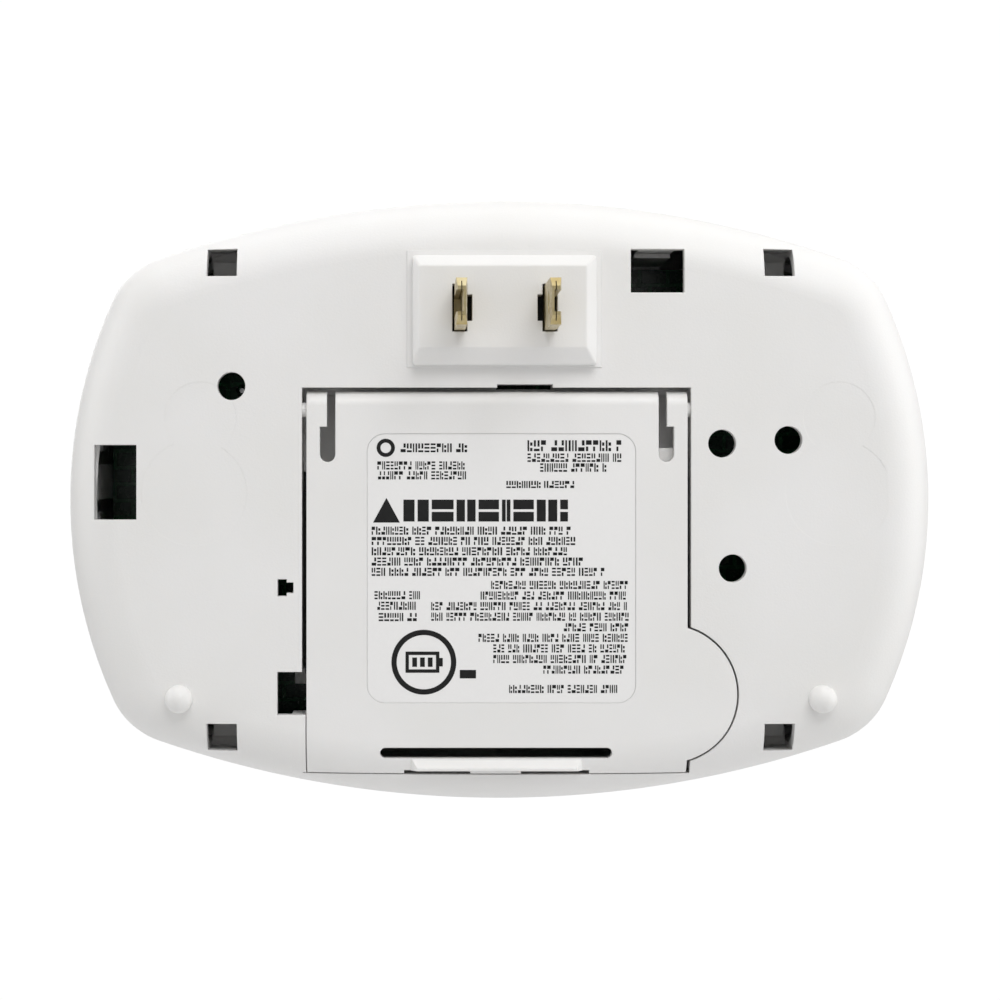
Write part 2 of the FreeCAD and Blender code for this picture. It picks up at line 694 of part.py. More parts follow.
def plug_blade(name, side):
    """Folded strip: two hemmed edges joined by a thin web, with the detent hole near a tapered tip."""
    x = f"plug_x + {side} * blade_spacing / 2"
    shoulder = "(pedestal_rise + blade_length - blade_tip)"
    x_low, x_high = mid(x, "blade_thickness")
    z_low, z_high = mid("plug_z", "blade_width")
    strip = block((x_low, x_high), ("-blade_tail", shoulder), (z_low, z_high))
    tab = block(mid(x, "0.8"), ("-blade_tail - blade_tab", "-blade_tail"), mid("plug_z", "3"))
    tip = doc.addObject("Part::Wedge", "Tip")
    for prop, size in (("Ymin", shoulder), ("Ymax", "pedestal_rise + blade_length"), ("Xmin", x_low),
                       ("Xmax", x_high), ("X2min", f"{x_low} + 0.2"), ("X2max", f"{x_high} - 0.2"),
                       ("Zmin", z_low), ("Zmax", z_high), ("Z2min", f"{z_low} + 0.75 * blade_tip"),
                       ("Z2max", f"{z_high} - 0.75 * blade_tip")):
        bind(tip, prop, size)
    open_length = ("-back_wall", "pedestal_rise + blade_length + 1")
    hollow = f"{x} + {side} * blade_web / 2"
    tools = [block(mid(hollow, "blade_thickness - blade_web + 0.002"), open_length,
                   mid("plug_z", "blade_width - 2 * blade_hem"))]
    # slits between the two layers of each hem
    tools.append(block(mid(x, "0.14"), open_length, mid("plug_z", "blade_width - 1")))
    tools.append(rod((f"{x} - 2", f"{x} + 2"), "pedestal_rise + blade_hole_reach", "plug_z",
                     "blade_hole_radius"))
    return subpart(name, [strip, tab, tip], tools)


def blade_retainer():
    """Block behind the plug that grips both blades."""
    grip = block(mid("plug_x", "20"), ("-7.5", "-back_wall"), mid("plug_z", "10"))
    tools = [block(mid(f"plug_x + {side} * blade_spacing / 2", "blade_thickness"), ("-8", "0"),
                   mid("plug_z", "blade_width")) for side in (-1, 1)]
    return subpart("blade_retainer", [grip], tools)


# ---------------------------------------------------------------- battery and its contacts

def battery():
    body = doc.addObject("PartDesign::Body", "Jacket")
    jacket = body.newObject("PartDesign::AdditiveBox", "Jacket")
    bind(jacket, "Length", "battery_length")
    bind(jacket, "Width", "battery_thickness")
    bind(jacket, "Height", "battery_width")
    bind(jacket, "Placement.Base.x", "battery_end - battery_length")
    bind(jacket, "Placement.Base.y", "-battery_depth - battery_thickness")
    bind(jacket, "Placement.Base.z", "battery_z - battery_width / 2")
    doc.recompute()
    fillet = body.newObject("PartDesign::Fillet", "Edges")
    fillet.Base = (jacket, edges_where(jacket.Shape, lambda b: b.XLength > 1e-6))
    bind(fillet, "Radius", "battery_round")
    doc.recompute()
    subpart("battery", [body])
    y = "-battery_depth - battery_thickness / 2"
    plus_z = "battery_z + stud_spacing / 2"
    minus_z = "battery_z - stud_spacing / 2"
    studs = ("battery_end", "battery_end + stud_height")
    subpart("battery_terminal_plus", [rod(studs, y, plus_z, "stud_radius")])
    subpart("battery_terminal_minus", [rod(studs, y, minus_z, "4.2")],
            [rod(("battery_end", "battery_end + stud_height + 1"), y, minus_z, "stud_radius + 0.1")])
    contacts = ("battery_end + 0.4", "23.4")
    subpart("battery_contact_plus", [rod(contacts, y, plus_z, "3.8")],
            [rod(("battery_end", "battery_end + stud_height + 0.3"), y, plus_z, "stud_radius + 0.1")])
    subpart("battery_contact_minus", [rod(contacts, y, minus_z, "stud_radius")])
    subpart("battery_connector", [block(("23.4", "opening_right"), mid(y, "14"),
                                        mid("battery_z", "24"))])


# ---------------------------------------------------------------- circuit board and its components

PIN_PLACES = TEST_HOLES + [(-22.4, 30.2), (52.5, 4.5)]
CHIP = (-2.0, -22.0)


def circuit_board():
    board = blank("board_depth", "board_depth + board_thickness", ("board_inset",))
    trim = block(mid("0", "2 * board_half_width"), ("-30", "-20"), mid("0", "2 * board_half_height"))
    notches = [block(mid(f"{x} * hook_x", "6.4"), ("-30", "-20"), mid(f"{z} * 34.1", "6"))
               for x, z in CORNERS]
    subpart("circuit_board", [common(board, trim)], notches)
    chip_x, chip_z = CHIP
    pins = PIN_PLACES + [(chip_x + 2 * step, chip_z + side * 4.6) for step in range(-4, 5)
                         for side in (-1, 1)]
    joints = [taper(str(x), (BOARD_BACK, BOARD_BACK + " + 1.1"), str(z), "0.95", "0.35") for x, z in pins]
    subpart("solder_joints", joints)


def on_board(height, start="0"):
    """Range that stands on the board's front side."""
    return (f"{BOARD_FRONT} - {height}", f"{BOARD_FRONT} - {start}")


def components():
    chip_x, chip_z = CHIP
    subpart("microcontroller", [block(mid(str(chip_x), "18"), on_board("2.6", "0.3"),
                                      mid(str(chip_z), "7.5"))])
    legs = []
    for step in range(-4, 5):
        for side in (-1, 1):
            legs.append(block(mid(str(chip_x + 2 * step), "0.5"), on_board("1.5"),
                              mid(str(chip_z + side * 4.6), "1.7")))
    subpart("microcontroller_legs", legs)
    subpart("film_capacitor", [block(mid("-2", "18"), on_board("11"), mid("26.5", "9"))])
    subpart("varistor", [rod(("12.5", "16.5"), BOARD_FRONT + " - 5.3", "26.5", "5")])
    subpart("fuse_resistor", [rod(("-25", "-15.5"), BOARD_FRONT + " - 2", "27", "1.8")])
    subpart("rectifier_diodes", [rod(str(x), BOARD_FRONT + " - 1.5", ("11.4", "16.6"), "1.35")
                                 for x in (-8, -4, 0, 4)])
    subpart("supply_capacitor", [rod("7.5", on_board("12"), "-8", "5")])
    subpart("backup_capacitor", [rod("-5", on_board("11"), "-8", "4")])
    subpart("horn_inductor", [rod("0", on_board("10"), "3", "4.4")])
    subpart("horn_body", [rod("horn_x", on_board("12.5"), "0", "horn_radius")],
            [rod("horn_x", on_board("11.2", "-1"), "0", "horn_radius - 1.3"),
             rod("horn_x", on_board("13", "10"), "0", "4.5")])
    subpart("piezo_ring", [rod("horn_x", on_board("8"), "0", "horn_radius - 1.3")],
            [rod("horn_x", on_board("9", "-1"), "0", "piezo_radius - 0.8")])
    subpart("piezo_disc", [rod("horn_x", on_board("8.5", "8"), "0", "piezo_radius")])
    subpart("sensor_body", [rod("control_x", on_board("9"), "sensor_z", "sensor_radius")])
    subpart("sensor_cap", [rod("control_x", on_board("11.4", "9"), "sensor_z", "sensor_radius + 0.4")],
            [rod(f"control_x + {x}", on_board("12", "10"), f"sensor_z + {z}", "1")
             for x, z in ((0, 0), (3, 0), (-3, 0), (0, 3), (0, -3))])
    subpart("switch_body", [block(mid("control_x", "6.2"), on_board("3.5"), mid("button_z", "6.2"))],
            [rod("control_x", on_board("4", "2.4"), "button_z", "1.8")])
    subpart("switch_plunger", [rod("control_x", ("-31.5", BOARD_FRONT + " - 3"), "button_z", "1.7")])
    for step, name in ((-1, "led_power"), (0, "led_alarm"), (1, "led_battery")):
        x = f"control_x + {step} * light_pitch"
        subpart(name, [rod(x, on_board("5.5"), "light_z", "1.5"), rod(x, on_board("1"), "light_z", "1.9")])


def leads():
    half_pitch = SIZES["blade_spacing"] / 2
    tail = -SIZES["blade_tail"] - SIZES["blade_tab"]
    board = -SIZES["board_depth"]
    for name, side in (("blade_lead_left", -1), ("blade_lead_right", 1)):
        x = SIZES["plug_x"] + side * half_pitch
        z = SIZES["plug_z"]
        lead(name, [(x, tail, z), (x, tail - 4, z), (x + side * 4, tail - 8.5, z),
                    (x + side * 4, board, z)], 0.9, 3.6)
    x = SIZES["opening_right"] + 6.3
    for name, side in (("battery_lead_plus", 1), ("battery_lead_minus", -1)):
        z = SIZES["battery_z"] + side * SIZES["stud_spacing"] / 2
        lead(name, [(SIZES["opening_right"], LEAD_DEPTH, z), (x, LEAD_DEPTH, z), (x, board, z)], 0.7, 3.0)


back_cover()
front_cover()
test_button()
light_pipes()
battery_door()
door_label()
plug_blade("plug_blade_left", -1)
plug_blade("plug_blade_right", 1)
blade_retainer()
battery()
circuit_board()
components()
leads()

doc.recompute()
failed = [obj.Name for obj in doc.Objects if {"Invalid", "Error"} & set(obj.State)]
failed += [piece.Label for piece in SUBPARTS if piece.Shape.isNull() or not piece.Shape.isValid()]
if failed:
    raise SystemExit(f"failed: {failed}")
os.makedirs("parts", exist_ok=True)
for piece in SUBPARTS:
    piece.Shape.exportStep(f"parts/{piece.Label}.step")
    box = piece.Shape.BoundBox
    print(f"{piece.Label}: {len(piece.Shape.Solids)} solid(s), volume {piece.Shape.Volume:.1f}, "
          f"x {box.XMin:.2f} {box.XMax:.2f}, y {box.YMin:.2f} {box.YMax:.2f}, "
          f"z {box.ZMin:.2f} {box.ZMax:.2f}")
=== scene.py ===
"""Plug-in carbon monoxide detector with a battery backup: its materials, the shelves seen through the
door's slots, the label's print, and the floor, light and camera."""

import math

import bpy
import numpy as np
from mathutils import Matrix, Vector


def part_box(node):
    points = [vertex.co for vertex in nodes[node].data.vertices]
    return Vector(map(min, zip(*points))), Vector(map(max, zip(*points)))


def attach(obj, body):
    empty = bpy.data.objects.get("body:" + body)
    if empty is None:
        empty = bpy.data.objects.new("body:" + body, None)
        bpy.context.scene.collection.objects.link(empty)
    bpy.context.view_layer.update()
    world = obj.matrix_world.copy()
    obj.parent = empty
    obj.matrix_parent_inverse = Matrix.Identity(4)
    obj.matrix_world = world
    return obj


MM = 0.001

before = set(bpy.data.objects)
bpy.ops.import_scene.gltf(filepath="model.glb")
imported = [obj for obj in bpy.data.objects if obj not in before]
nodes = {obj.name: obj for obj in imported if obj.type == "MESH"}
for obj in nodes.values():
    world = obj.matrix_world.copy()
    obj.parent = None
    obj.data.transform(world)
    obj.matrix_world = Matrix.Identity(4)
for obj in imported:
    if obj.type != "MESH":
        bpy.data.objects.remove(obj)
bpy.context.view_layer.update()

# the case's back lies 3 mm behind the plug base's face, where y is 0
BACK_FACE = -3.0 * MM


# ---------------------------------------------------------------- materials

def linear(code):
    """sRGB hex colour as linear red, green and blue, with an alpha of 1."""
    parts = [int(code[place:place + 2], 16) / 255 for place in (1, 3, 5)]
    return tuple(p / 12.92 if p <= 0.04045 else ((p + 0.055) / 1.055) ** 2.4 for p in parts) + (1.0,)


def add(tree, kind, settings=None, **inputs):
    """Adds a shader node; inputs are sockets to link from, or plain values."""
    made = tree.nodes.new(kind)
    for key, value in (settings or {}).items():
        setattr(made, key, value)
    for key, value in inputs.items():
        socket = made.inputs[int(key[1:]) if key[1:].isdigit() else key.replace("_", " ")]
        if isinstance(value, bpy.types.NodeSocket):
            tree.links.new(value, socket)
        else:
            socket.default_value = value
    return made


def blank_material(name):
    """New material holding only an output, a surface shader and object coordinates."""
    material = bpy.data.materials.new(name)
    material.use_nodes = True
    tree = material.node_tree
    tree.nodes.clear()
    surface = add(tree, "ShaderNodeBsdfPrincipled")
    add(tree, "ShaderNodeOutputMaterial", Surface=surface.outputs[0])
    place = add(tree, "ShaderNodeTexCoord").outputs["Object"]
    return material, tree, surface, place


def grain(tree, place, size_mm, detail=2.0, roughness=0.5):
    """Noise whose blotches are about size_mm across."""
    return add(tree, "ShaderNodeTexNoise", Vector=place, Scale=1 / (size_mm * MM), Detail=detail,
               Roughness=roughness).outputs["Fac"]


def spread(tree, factor, low, high, start=0.35, end=0.65):
    """Number that runs from low to high as the factor crosses a band."""
    return add(tree, "ShaderNodeMapRange", Value=factor, From_Min=start, From_Max=end, To_Min=low,
               To_Max=high).outputs[0]


def tint(tree, factor, first, second, start=0.35, end=0.65):
    """Colour that runs from first to second as the factor crosses a band."""
    ramp = add(tree, "ShaderNodeValToRGB", Fac=factor)
    ramp.color_ramp.elements[0].position = start
    ramp.color_ramp.elements[0].color = linear(first)
    ramp.color_ramp.elements[1].position = end
    ramp.color_ramp.elements[1].color = linear(second)
    return ramp.outputs[0]


def relief(tree, height, depth_mm, strength=1.0, edge_mm=None):
    """Bump whose full height is depth_mm, over edges softened to a radius of edge_mm if given."""
    bump = add(tree, "ShaderNodeBump", Height=height, Distance=depth_mm * MM, Strength=strength)
    if edge_mm:
        soft = add(tree, "ShaderNodeBevel", {"samples": 6}, Radius=edge_mm * MM)
        tree.links.new(soft.outputs[0], bump.inputs["Normal"])
    return bump.outputs[0]


ABS_DRIFT_MM = 22
ABS_EDGE_MM = 0.22
ABS_DEPTH_MM = 0.6


def moulded_abs(name, pale, deep, grain_mm, grain_depth_mm, rough):
    """Injection-moulded ABS from a spark-eroded tool: a fine even grain that breaks up highlights,
    with a barely visible drift in tone across the wall. Its edges catch light as if slightly rounded,
    and light sinks a fraction of a millimetre into it."""
    material, tree, surface, place = blank_material(name)
    drift = grain(tree, place, ABS_DRIFT_MM)
    fine = grain(tree, place, grain_mm, detail=3)
    tree.links.new(tint(tree, drift, deep, pale), surface.inputs["Base Color"])
    tree.links.new(spread(tree, fine, rough - 0.06, rough + 0.06), surface.inputs["Roughness"])
    tree.links.new(relief(tree, fine, grain_depth_mm, edge_mm=ABS_EDGE_MM), surface.inputs["Normal"])
    surface.inputs["IOR"].default_value = 1.54
    surface.inputs["Subsurface Weight"].default_value = 0.12
    surface.inputs["Subsurface Radius"].default_value = (1.0, 0.9, 0.8)
    surface.inputs["Subsurface Scale"].default_value = ABS_DEPTH_MM * MM
    return material


def label_film():
    """Satin polyester label: smoother than the moulded plastic under it, and a shade brighter."""
    material, tree, surface, place = blank_material("satin_polyester_label")
    satin = grain(tree, place, 0.4)
    tree.links.new(tint(tree, satin, "#ECEBEA", "#EDECEB"), surface.inputs["Base Color"])
    tree.links.new(spread(tree, satin, 0.30, 0.38), surface.inputs["Roughness"])
    surface.inputs["IOR"].default_value = 1.57
    return material


def printing_ink():
    """Thermal-transfer ink: near black, slightly uneven where the ribbon laid down thin."""
    material, tree, surface, place = blank_material("thermal_transfer_ink")
    wear = grain(tree, place, 0.35)
    tree.links.new(tint(tree, wear, "#060606", "#101010"), surface.inputs["Base Color"])
    tree.links.new(spread(tree, wear, 0.42, 0.6), surface.inputs["Roughness"])
    surface.inputs["Specular IOR Level"].default_value = 0.35
    return material


def plated_brass():
    """Nickel-plated brass strip, folded: bright, with scuffs drawn out along the blade where it slides
    into outlets, and the yellow of the brass showing through in places."""
    material, tree, surface, place = blank_material("nickel_plated_folded_brass")
    drawn_out = add(tree, "ShaderNodeMapping", Vector=place, Scale=(1.0, 0.12, 1.0)).outputs[0]
    scuff = grain(tree, drawn_out, 0.35, detail=4, roughness=0.6)
    blotch = grain(tree, place, 2.6, detail=3)
    tree.links.new(tint(tree, blotch, "#B5A270", "#C6BA94"), surface.inputs["Base Color"])
    tree.links.new(spread(tree, scuff, 0.28, 0.42), surface.inputs["Roughness"])
    tree.links.new(relief(tree, scuff, 0.006, 0.6), surface.inputs["Normal"])
    surface.inputs["Metallic"].default_value = 1.0
    return material


def metal(name, dark, light, rough, size_mm):
    """Small metal part: even, with the slight mottling of its plating or casting."""
    material, tree, surface, place = blank_material(name)
    mottle = grain(tree, place, size_mm, detail=3)
    tree.links.new(tint(tree, mottle, dark, light), surface.inputs["Base Color"])
    tree.links.new(spread(tree, mottle, rough - 0.07, rough + 0.07), surface.inputs["Roughness"])
    tree.links.new(relief(tree, mottle, 0.01, 0.5), surface.inputs["Normal"])
    surface.inputs["Metallic"].default_value = 1.0
    return material


def plastic(name, dark, light, rough, size_mm, ior=1.5):
    """Small moulded, lacquered or sleeved part: one colour with a slight drift and a fine surface."""
    material, tree, surface, place = blank_material(name)
    mottle = grain(tree, place, size_mm, detail=3)
    fine = grain(tree, place, 0.3)
    tree.links.new(tint(tree, mottle, dark, light), surface.inputs["Base Color"])
    tree.links.new(spread(tree, fine, max(rough - 0.06, 0.03), rough + 0.06), surface.inputs["Roughness"])
    tree.links.new(relief(tree, fine, 0.01, 0.5), surface.inputs["Normal"])
    surface.inputs["IOR"].default_value = ior
    return material


def clear_resin(name, dark, light, rough, clearness=0.55):
    """Tinted clear resin or acrylic: light goes into it and picks up its colour."""
    material, tree, surface, place = blank_material(name)
    cloud = grain(tree, place, 1.5)
    tree.links.new(tint(tree, cloud, dark, light), surface.inputs["Base Color"])
    tree.links.new(spread(tree, cloud, rough, rough + 0.08), surface.inputs["Roughness"])
    surface.inputs["Transmission Weight"].default_value = clearness
    surface.inputs["IOR"].default_value = 1.49
    return material


def solder_mask():
    """Glass-epoxy laminate under green solder mask: glossy, with raised copper tracks 0.6 mm wide
    on a 2.5 mm grid that look paler than the bare laminate."""
    material, tree, surface, place = blank_material("green_solder_mask")
    across_board = add(tree, "ShaderNodeMapping", Vector=place, Rotation=(math.pi / 2, 0, 0)).outputs[0]
    tracks = add(tree, "ShaderNodeTexBrick", {"offset": 0.37}, Vector=across_board, Scale=1 / (2.5 * MM),
                 Mortar_Size=0.12, Mortar_Smooth=0.1, Brick_Width=1.7, Row_Height=1.0)
    height = tracks.outputs["Fac"]
    tree.links.new(tint(tree, height, "#0E3A22", "#1B5A35", 0.2, 0.8), surface.inputs["Base Color"])
    tree.links.new(relief(tree, height, 0.035), surface.inputs["Normal"])
    tree.links.new(spread(tree, grain(tree, place, 0.8), 0.2, 0.32), surface.inputs["Roughness"])
    return material


JACKET_BAND_MM = 5.0
BAND_EDGE_MM = 0.1


def battery_jacket():
    """Lacquered steel battery jacket: slate grey, with a band of bare steel at the contact end."""
    material, tree, surface, place = blank_material("printed_battery_jacket")
    contact_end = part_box("battery")[1].x
    reach = add(tree, "ShaderNodeSeparateXYZ", Vector=place).outputs["X"]
    band = spread(tree, reach, 0.0, 1.0, contact_end - JACKET_BAND_MM * MM,
                  contact_end - (JACKET_BAND_MM - BAND_EDGE_MM) * MM)
    tree.links.new(tint(tree, band, "#3A424D", "#B4B6B7", 0.4, 0.6), surface.inputs["Base Color"])
    tree.links.new(spread(tree, band, 0.0, 0.75), surface.inputs["Metallic"])
    tree.links.new(spread(tree, grain(tree, place, 0.8), 0.26, 0.36), surface.inputs["Roughness"])
    return material


FINISHES = {
    "back_cover": moulded_abs("textured_white_abs_case", "#E9E8E7", "#E6E5E3", 0.28, 0.02, 0.5),
    "front_cover": moulded_abs("satin_white_abs_front", "#E9E8E7", "#E6E5E3", 0.35, 0.012, 0.42),
    "battery_door": moulded_abs("textured_white_abs_door", "#EAE9E8", "#E7E6E4", 0.3, 0.014, 0.46),
    "test_button": moulded_abs("satin_white_abs_button", "#E3E2E0", "#DFDEDC", 0.35, 0.01, 0.38),
    "door_label": label_film(),
    "plug_blade_left": plated_brass(),
    "blade_retainer": plastic("black_moulded_nylon", "#141414", "#1D1D1D", 0.5, 3),
    "battery": battery_jacket(),
    "battery_terminal_plus": metal("nickel_plated_steel", "#BFBDB8", "#D2D0CB", 0.25, 1.5),
    "circuit_board": solder_mask(),
    "solder_joints": metal("bright_tin_solder", "#B9BABB", "#D9DADB", 0.18, 0.6),
    "microcontroller": plastic("moulded_chip_epoxy", "#161617", "#1E1E20", 0.55, 1.2),
    "microcontroller_legs": metal("tinned_copper_legs", "#C4C4C0", "#D4D4D0", 0.3, 0.7),
    "film_capacitor": plastic("yellow_potted_capacitor_case", "#B99A26", "#C9AA32", 0.35, 2),
    "varistor": plastic("blue_dipped_varistor_lacquer", "#23406F", "#2C4E84", 0.22, 1.5),
    "fuse_resistor": plastic("green_resistor_lacquer", "#73806F", "#7E8C79", 0.4, 1),
    "rectifier_diodes": plastic("black_diode_epoxy", "#121212", "#1A1A1A", 0.35, 1),
    "supply_capacitor": plastic("black_shrink_sleeve", "#16181F", "#20232C", 0.28, 2),
    "horn_inductor": plastic("sintered_ferrite", "#1C1B1B", "#282726", 0.6, 0.6),
    "horn_body": plastic("black_moulded_resonator", "#151516", "#1E1E1F", 0.45, 4),
    "piezo_disc": metal("sounder_brass", "#B08D45", "#C6A55C", 0.3, 2),
    "sensor_body": plastic("ivory_moulded_sensor", "#CFCCC2", "#D8D5CC", 0.45, 3),
    "sensor_cap": metal("pressed_steel_cap", "#9C9B99", "#B2B1AF", 0.35, 1),
    "switch_body": plastic("black_moulded_switch", "#131313", "#1B1B1B", 0.4, 1),
    "led_power": clear_resin("green_led_epoxy", "#3F9A52", "#5CB56E", 0.12),
    "led_alarm": clear_resin("red_led_epoxy", "#A81712", "#C42A22", 0.12),
    "led_battery": clear_resin("amber_led_epoxy", "#C77A12", "#DC9226", 0.12),
    "light_pipe_power": clear_resin("moulded_acrylic_light_pipe", "#DDE3E1", "#E8ECEB", 0.14, 0.35),
    "blade_lead_left": plastic("white_wire_insulation", "#DAD9D5", "#E2E1DD", 0.4, 2),
    "blade_lead_right": plastic("black_wire_insulation", "#141414", "#1C1C1C", 0.4, 2),
    "battery_lead_plus": plastic("red_wire_insulation", "#8E1310", "#A21C18", 0.4, 2),
}
SAME_FINISH = {
    "plug_blade_left": ["plug_blade_right"],
    "blade_retainer": ["battery_connector"],
    "battery_terminal_plus": ["battery_terminal_minus", "battery_contact_plus", "battery_contact_minus"],
    "supply_capacitor": ["backup_capacitor"],
    "horn_body": ["piezo_ring"],
    "switch_body": ["switch_plunger"],
    "light_pipe_power": ["light_pipe_alarm", "light_pipe_battery"],
    "blade_lead_right": ["battery_lead_minus"],
}
for first, finish in FINISHES.items():
    for name in [first] + SAME_FINISH.get(first, []):
        piece = nodes[name].data
        if not piece.materials:
            piece.materials.append(finish)
        for slot in range(len(piece.materials)):
            piece.materials[slot] = finish


# ---------------------------------------------------------------- shelves behind the door's slots

# millimetres: thickness, the round under the root, width, how far the width starts past the battery
SHELF_WALL = 1.2
SHELF_ROOT = 1.0
SHELF_WIDTH = 7.4
SHELF_PAST_BATTERY = 0.4
SHELF_PAST_DOOR = 0.7
# from the battery's side to the outside of its well, and from the case's back to under the tray
WELL_REACH = 3.0
TRAY_UNDERSIDE = 7.3


def slot_shelf(name, left, right, root, tip, face):
    """Shelf moulded on the battery well's outer wall: a profile carried along x from left to right.
    The profile is a plate SHELF_WALL thick that stands out from the wall at z = root to a
    half-round edge at z = tip, with its near face at y = face and a quarter-round under its root.
    All in millimetres."""
    radius = SHELF_WALL / 2
    turn = np.linspace(math.pi / 2, -math.pi / 2, 13)
    edge = np.stack([tip - radius + radius * np.cos(turn), face - radius + radius * np.sin(turn)], axis=1)
    sweep = np.linspace(0, math.pi / 2, 9)
    under = face - SHELF_WALL - SHELF_ROOT
    foot = np.stack([root + SHELF_ROOT - SHELF_ROOT * np.sin(sweep),
                     under + SHELF_ROOT * np.cos(sweep)], axis=1)
    profile = np.concatenate([[[root, face]], edge, foot])
    count = len(profile)
    points = np.concatenate([np.insert(profile[:, ::-1], 0, x, axis=1) for x in (left, right)])
    here = np.arange(count)
    after = (here + 1) % count
    sides = np.stack([here, after, after + count, here + count], axis=1)
    faces = sides.tolist() + [here[::-1].tolist(), (here + count).tolist()]
    mesh = bpy.data.meshes.new(name)
    mesh.from_pydata((points * MM).tolist(), [], faces)
    mesh.materials.append(FINISHES["back_cover"])
    piece = bpy.data.objects.new(name, mesh)
    bpy.context.scene.collection.objects.link(piece)
    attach(piece, "case")


battery_low, battery_high = (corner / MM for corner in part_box("battery"))
shelf_root = battery_high.z + WELL_REACH
shelf_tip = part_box("battery_door")[1].z / MM + SHELF_PAST_DOOR
shelf_face = BACK_FACE / MM - TRAY_UNDERSIDE
for name, shelf_left in (("slot_shelf_left", battery_low.x - SHELF_PAST_BATTERY),
                         ("slot_shelf_right", battery_high.x + SHELF_PAST_BATTERY)):
    slot_shelf(name, shelf_left, shelf_left + SHELF_WIDTH, shelf_root, shelf_tip, shelf_face)


# ---------------------------------------------------------------- label print

label_low, label_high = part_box("door_label")
label_centre = (label_low + label_high) / 2
INK_LIFT = 0.02 * MM
INK = printing_ink()


def raised_shapes(name, outlines):
    """Flat ink shapes, each an outline of (across, up) points in millimetres from the label's
    centre, across to the reader's right, wound anticlockwise; one face per outline."""
    points = []
    faces = []
    for outline in outlines:
        faces.append(list(range(len(points), len(points) + len(outline))))
        points += [(label_centre.x - across * MM, label_high.y + INK_LIFT, label_centre.z + up * MM)
                   for across, up in outline]
    mesh = bpy.data.meshes.new(name)
    mesh.from_pydata(points, [], faces)
    mesh.materials.append(INK)
    piece = bpy.data.objects.new(name, mesh)
    bpy.context.scene.collection.objects.link(piece)
    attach(piece, "battery_door")


def bar(left, low, width, height):
    """Rectangle, anticlockwise."""
    return [(left, low), (left + width, low), (left + width, low + height), (left, low + height)]


# what one printed mark is made of: bars as left, low, width and height in parts of the mark
MARKS = [
    [(0, 0, 1, 0.2), (0, 0.4, 1, 0.2), (0, 0.8, 1, 0.2)],
    [(0, 0, 0.32, 1), (0.62, 0, 0.38, 1)],
    [(0, 0.58, 1, 0.42), (0, 0, 0.4, 0.42)],
    [(0, 0, 1, 0.36), (0.58, 0.52, 0.42, 0.48)],
    [(0, 0, 0.34, 1), (0.52, 0, 0.48, 0.3), (0.52, 0.5, 0.48, 0.3)],
    [(0, 0, 1, 0.22), (0, 0.42, 0.36, 0.58), (0.64, 0.42, 0.36, 0.58)],
]
HEADING_MARKS = [[(0, 0, 0.44, 1), (0.56, 0, 0.44, 1)], [(0, 0, 1, 0.44), (0, 0.56, 1, 0.44)]]


# proportions of a printed line, in letter heights: a mark's width, the gaps after a mark and a word,
# and the least room in which another word starts
MARK_SPAN = (0.42, 0.6)
MARK_GAP = 0.13
WORD_GAP = 0.36
LEAST_ROOM = 0.3


def mark(left, low, width, height, bars):
    """One mark: its bars, scaled to its box."""
    return [bar(left + x * width, low + z * height, w * width, h * height) for x, z, w, h in bars]


def word_marks(left, width, up, height, weight, draw):
    """One printed line: words of two to nine marks that stand in for lettering."""
    shapes = []
    pen = left
    end = left + width
    while pen < end - LEAST_ROOM * height:
        for _ in range(draw.integers(2, 10)):
            span = height * draw.uniform(*MARK_SPAN) * weight
            if pen + span > end:
                break
            shapes += mark(pen, up - height / 2, span, height, MARKS[draw.integers(len(MARKS))])
            pen += span + MARK_GAP * height
        pen += WORD_GAP * height
    return shapes


def ring(x, z, radius, width, count=72):
    """Annulus as quads between two circles, the outer one of the given radius."""
    quads = []
    for step in range(count):
        a, b = (2 * math.pi * (step + side) / count for side in (0, 1))
        outer, inner = radius, radius - width
        quads.append([(x + inner * math.cos(a), z + inner * math.sin(a)),
                      (x + outer * math.cos(a), z + outer * math.sin(a)),
                      (x + outer * math.cos(b), z + outer * math.sin(b)),
                      (x + inner * math.cos(b), z + inner * math.sin(b))])
    return quads


# printed lines: left edge, width, height of the line's middle, letter height, weight (mm)
HEAD_LINES = [(-14.3, 9.7, 17.1, 1.25, 1.0), (-17.6, 12.4, 14.6, 1.15, 0.8), (-17.5, 12.6, 13.2, 1.15, 0.8),
              (3.7, 13.6, 17.4, 1.55, 1.0), (3.7, 13.6, 15.7, 1.2, 0.8), (5.5, 10.0, 14.3, 1.2, 0.8),
              (0.7, 10.1, 11.9, 1.0, 1.2), (-18.0, 7.0, -3.8, 1.15, 0.8), (-17.6, 6.1, -5.3, 1.15, 0.8),
              (-17.4, 6.0, -6.9, 1.15, 1.0), (1.1, 15.9, -17.1, 1.15, 0.8)]
LETTER = 1.15
# lines below the heading, flush left
BODY_WIDTHS = (28.5, 29.5, 28.2, 30.5, 33.0)
BODY_LEFT, BODY_TOP, BODY_PITCH = -18.4, 5.35, 1.46
# lines in the lower half, flush right
TAIL_WIDTHS = (19.5, 21.0, 28.0, 28.0, 9.2, 21.3, 19.2, 19.2, 12.1)
TAIL_RIGHT, TAIL_TOP, TAIL_PITCH = 18.05, -2.35, 1.5
# heading: eight bold marks after a plain triangle
HEADING_WIDTHS = (3.6, 3.1, 2.7, 2.9, 1.2, 2.9, 2.9, 1.1)
HEADING_LEFT, HEADING_LOW, HEADING_HEIGHT, HEADING_GAP = -13.9, 6.65, 3.1, 0.42
TRIANGLE = [(-18.2, 6.5), (-14.4, 6.5), (-16.3, 10.0)]
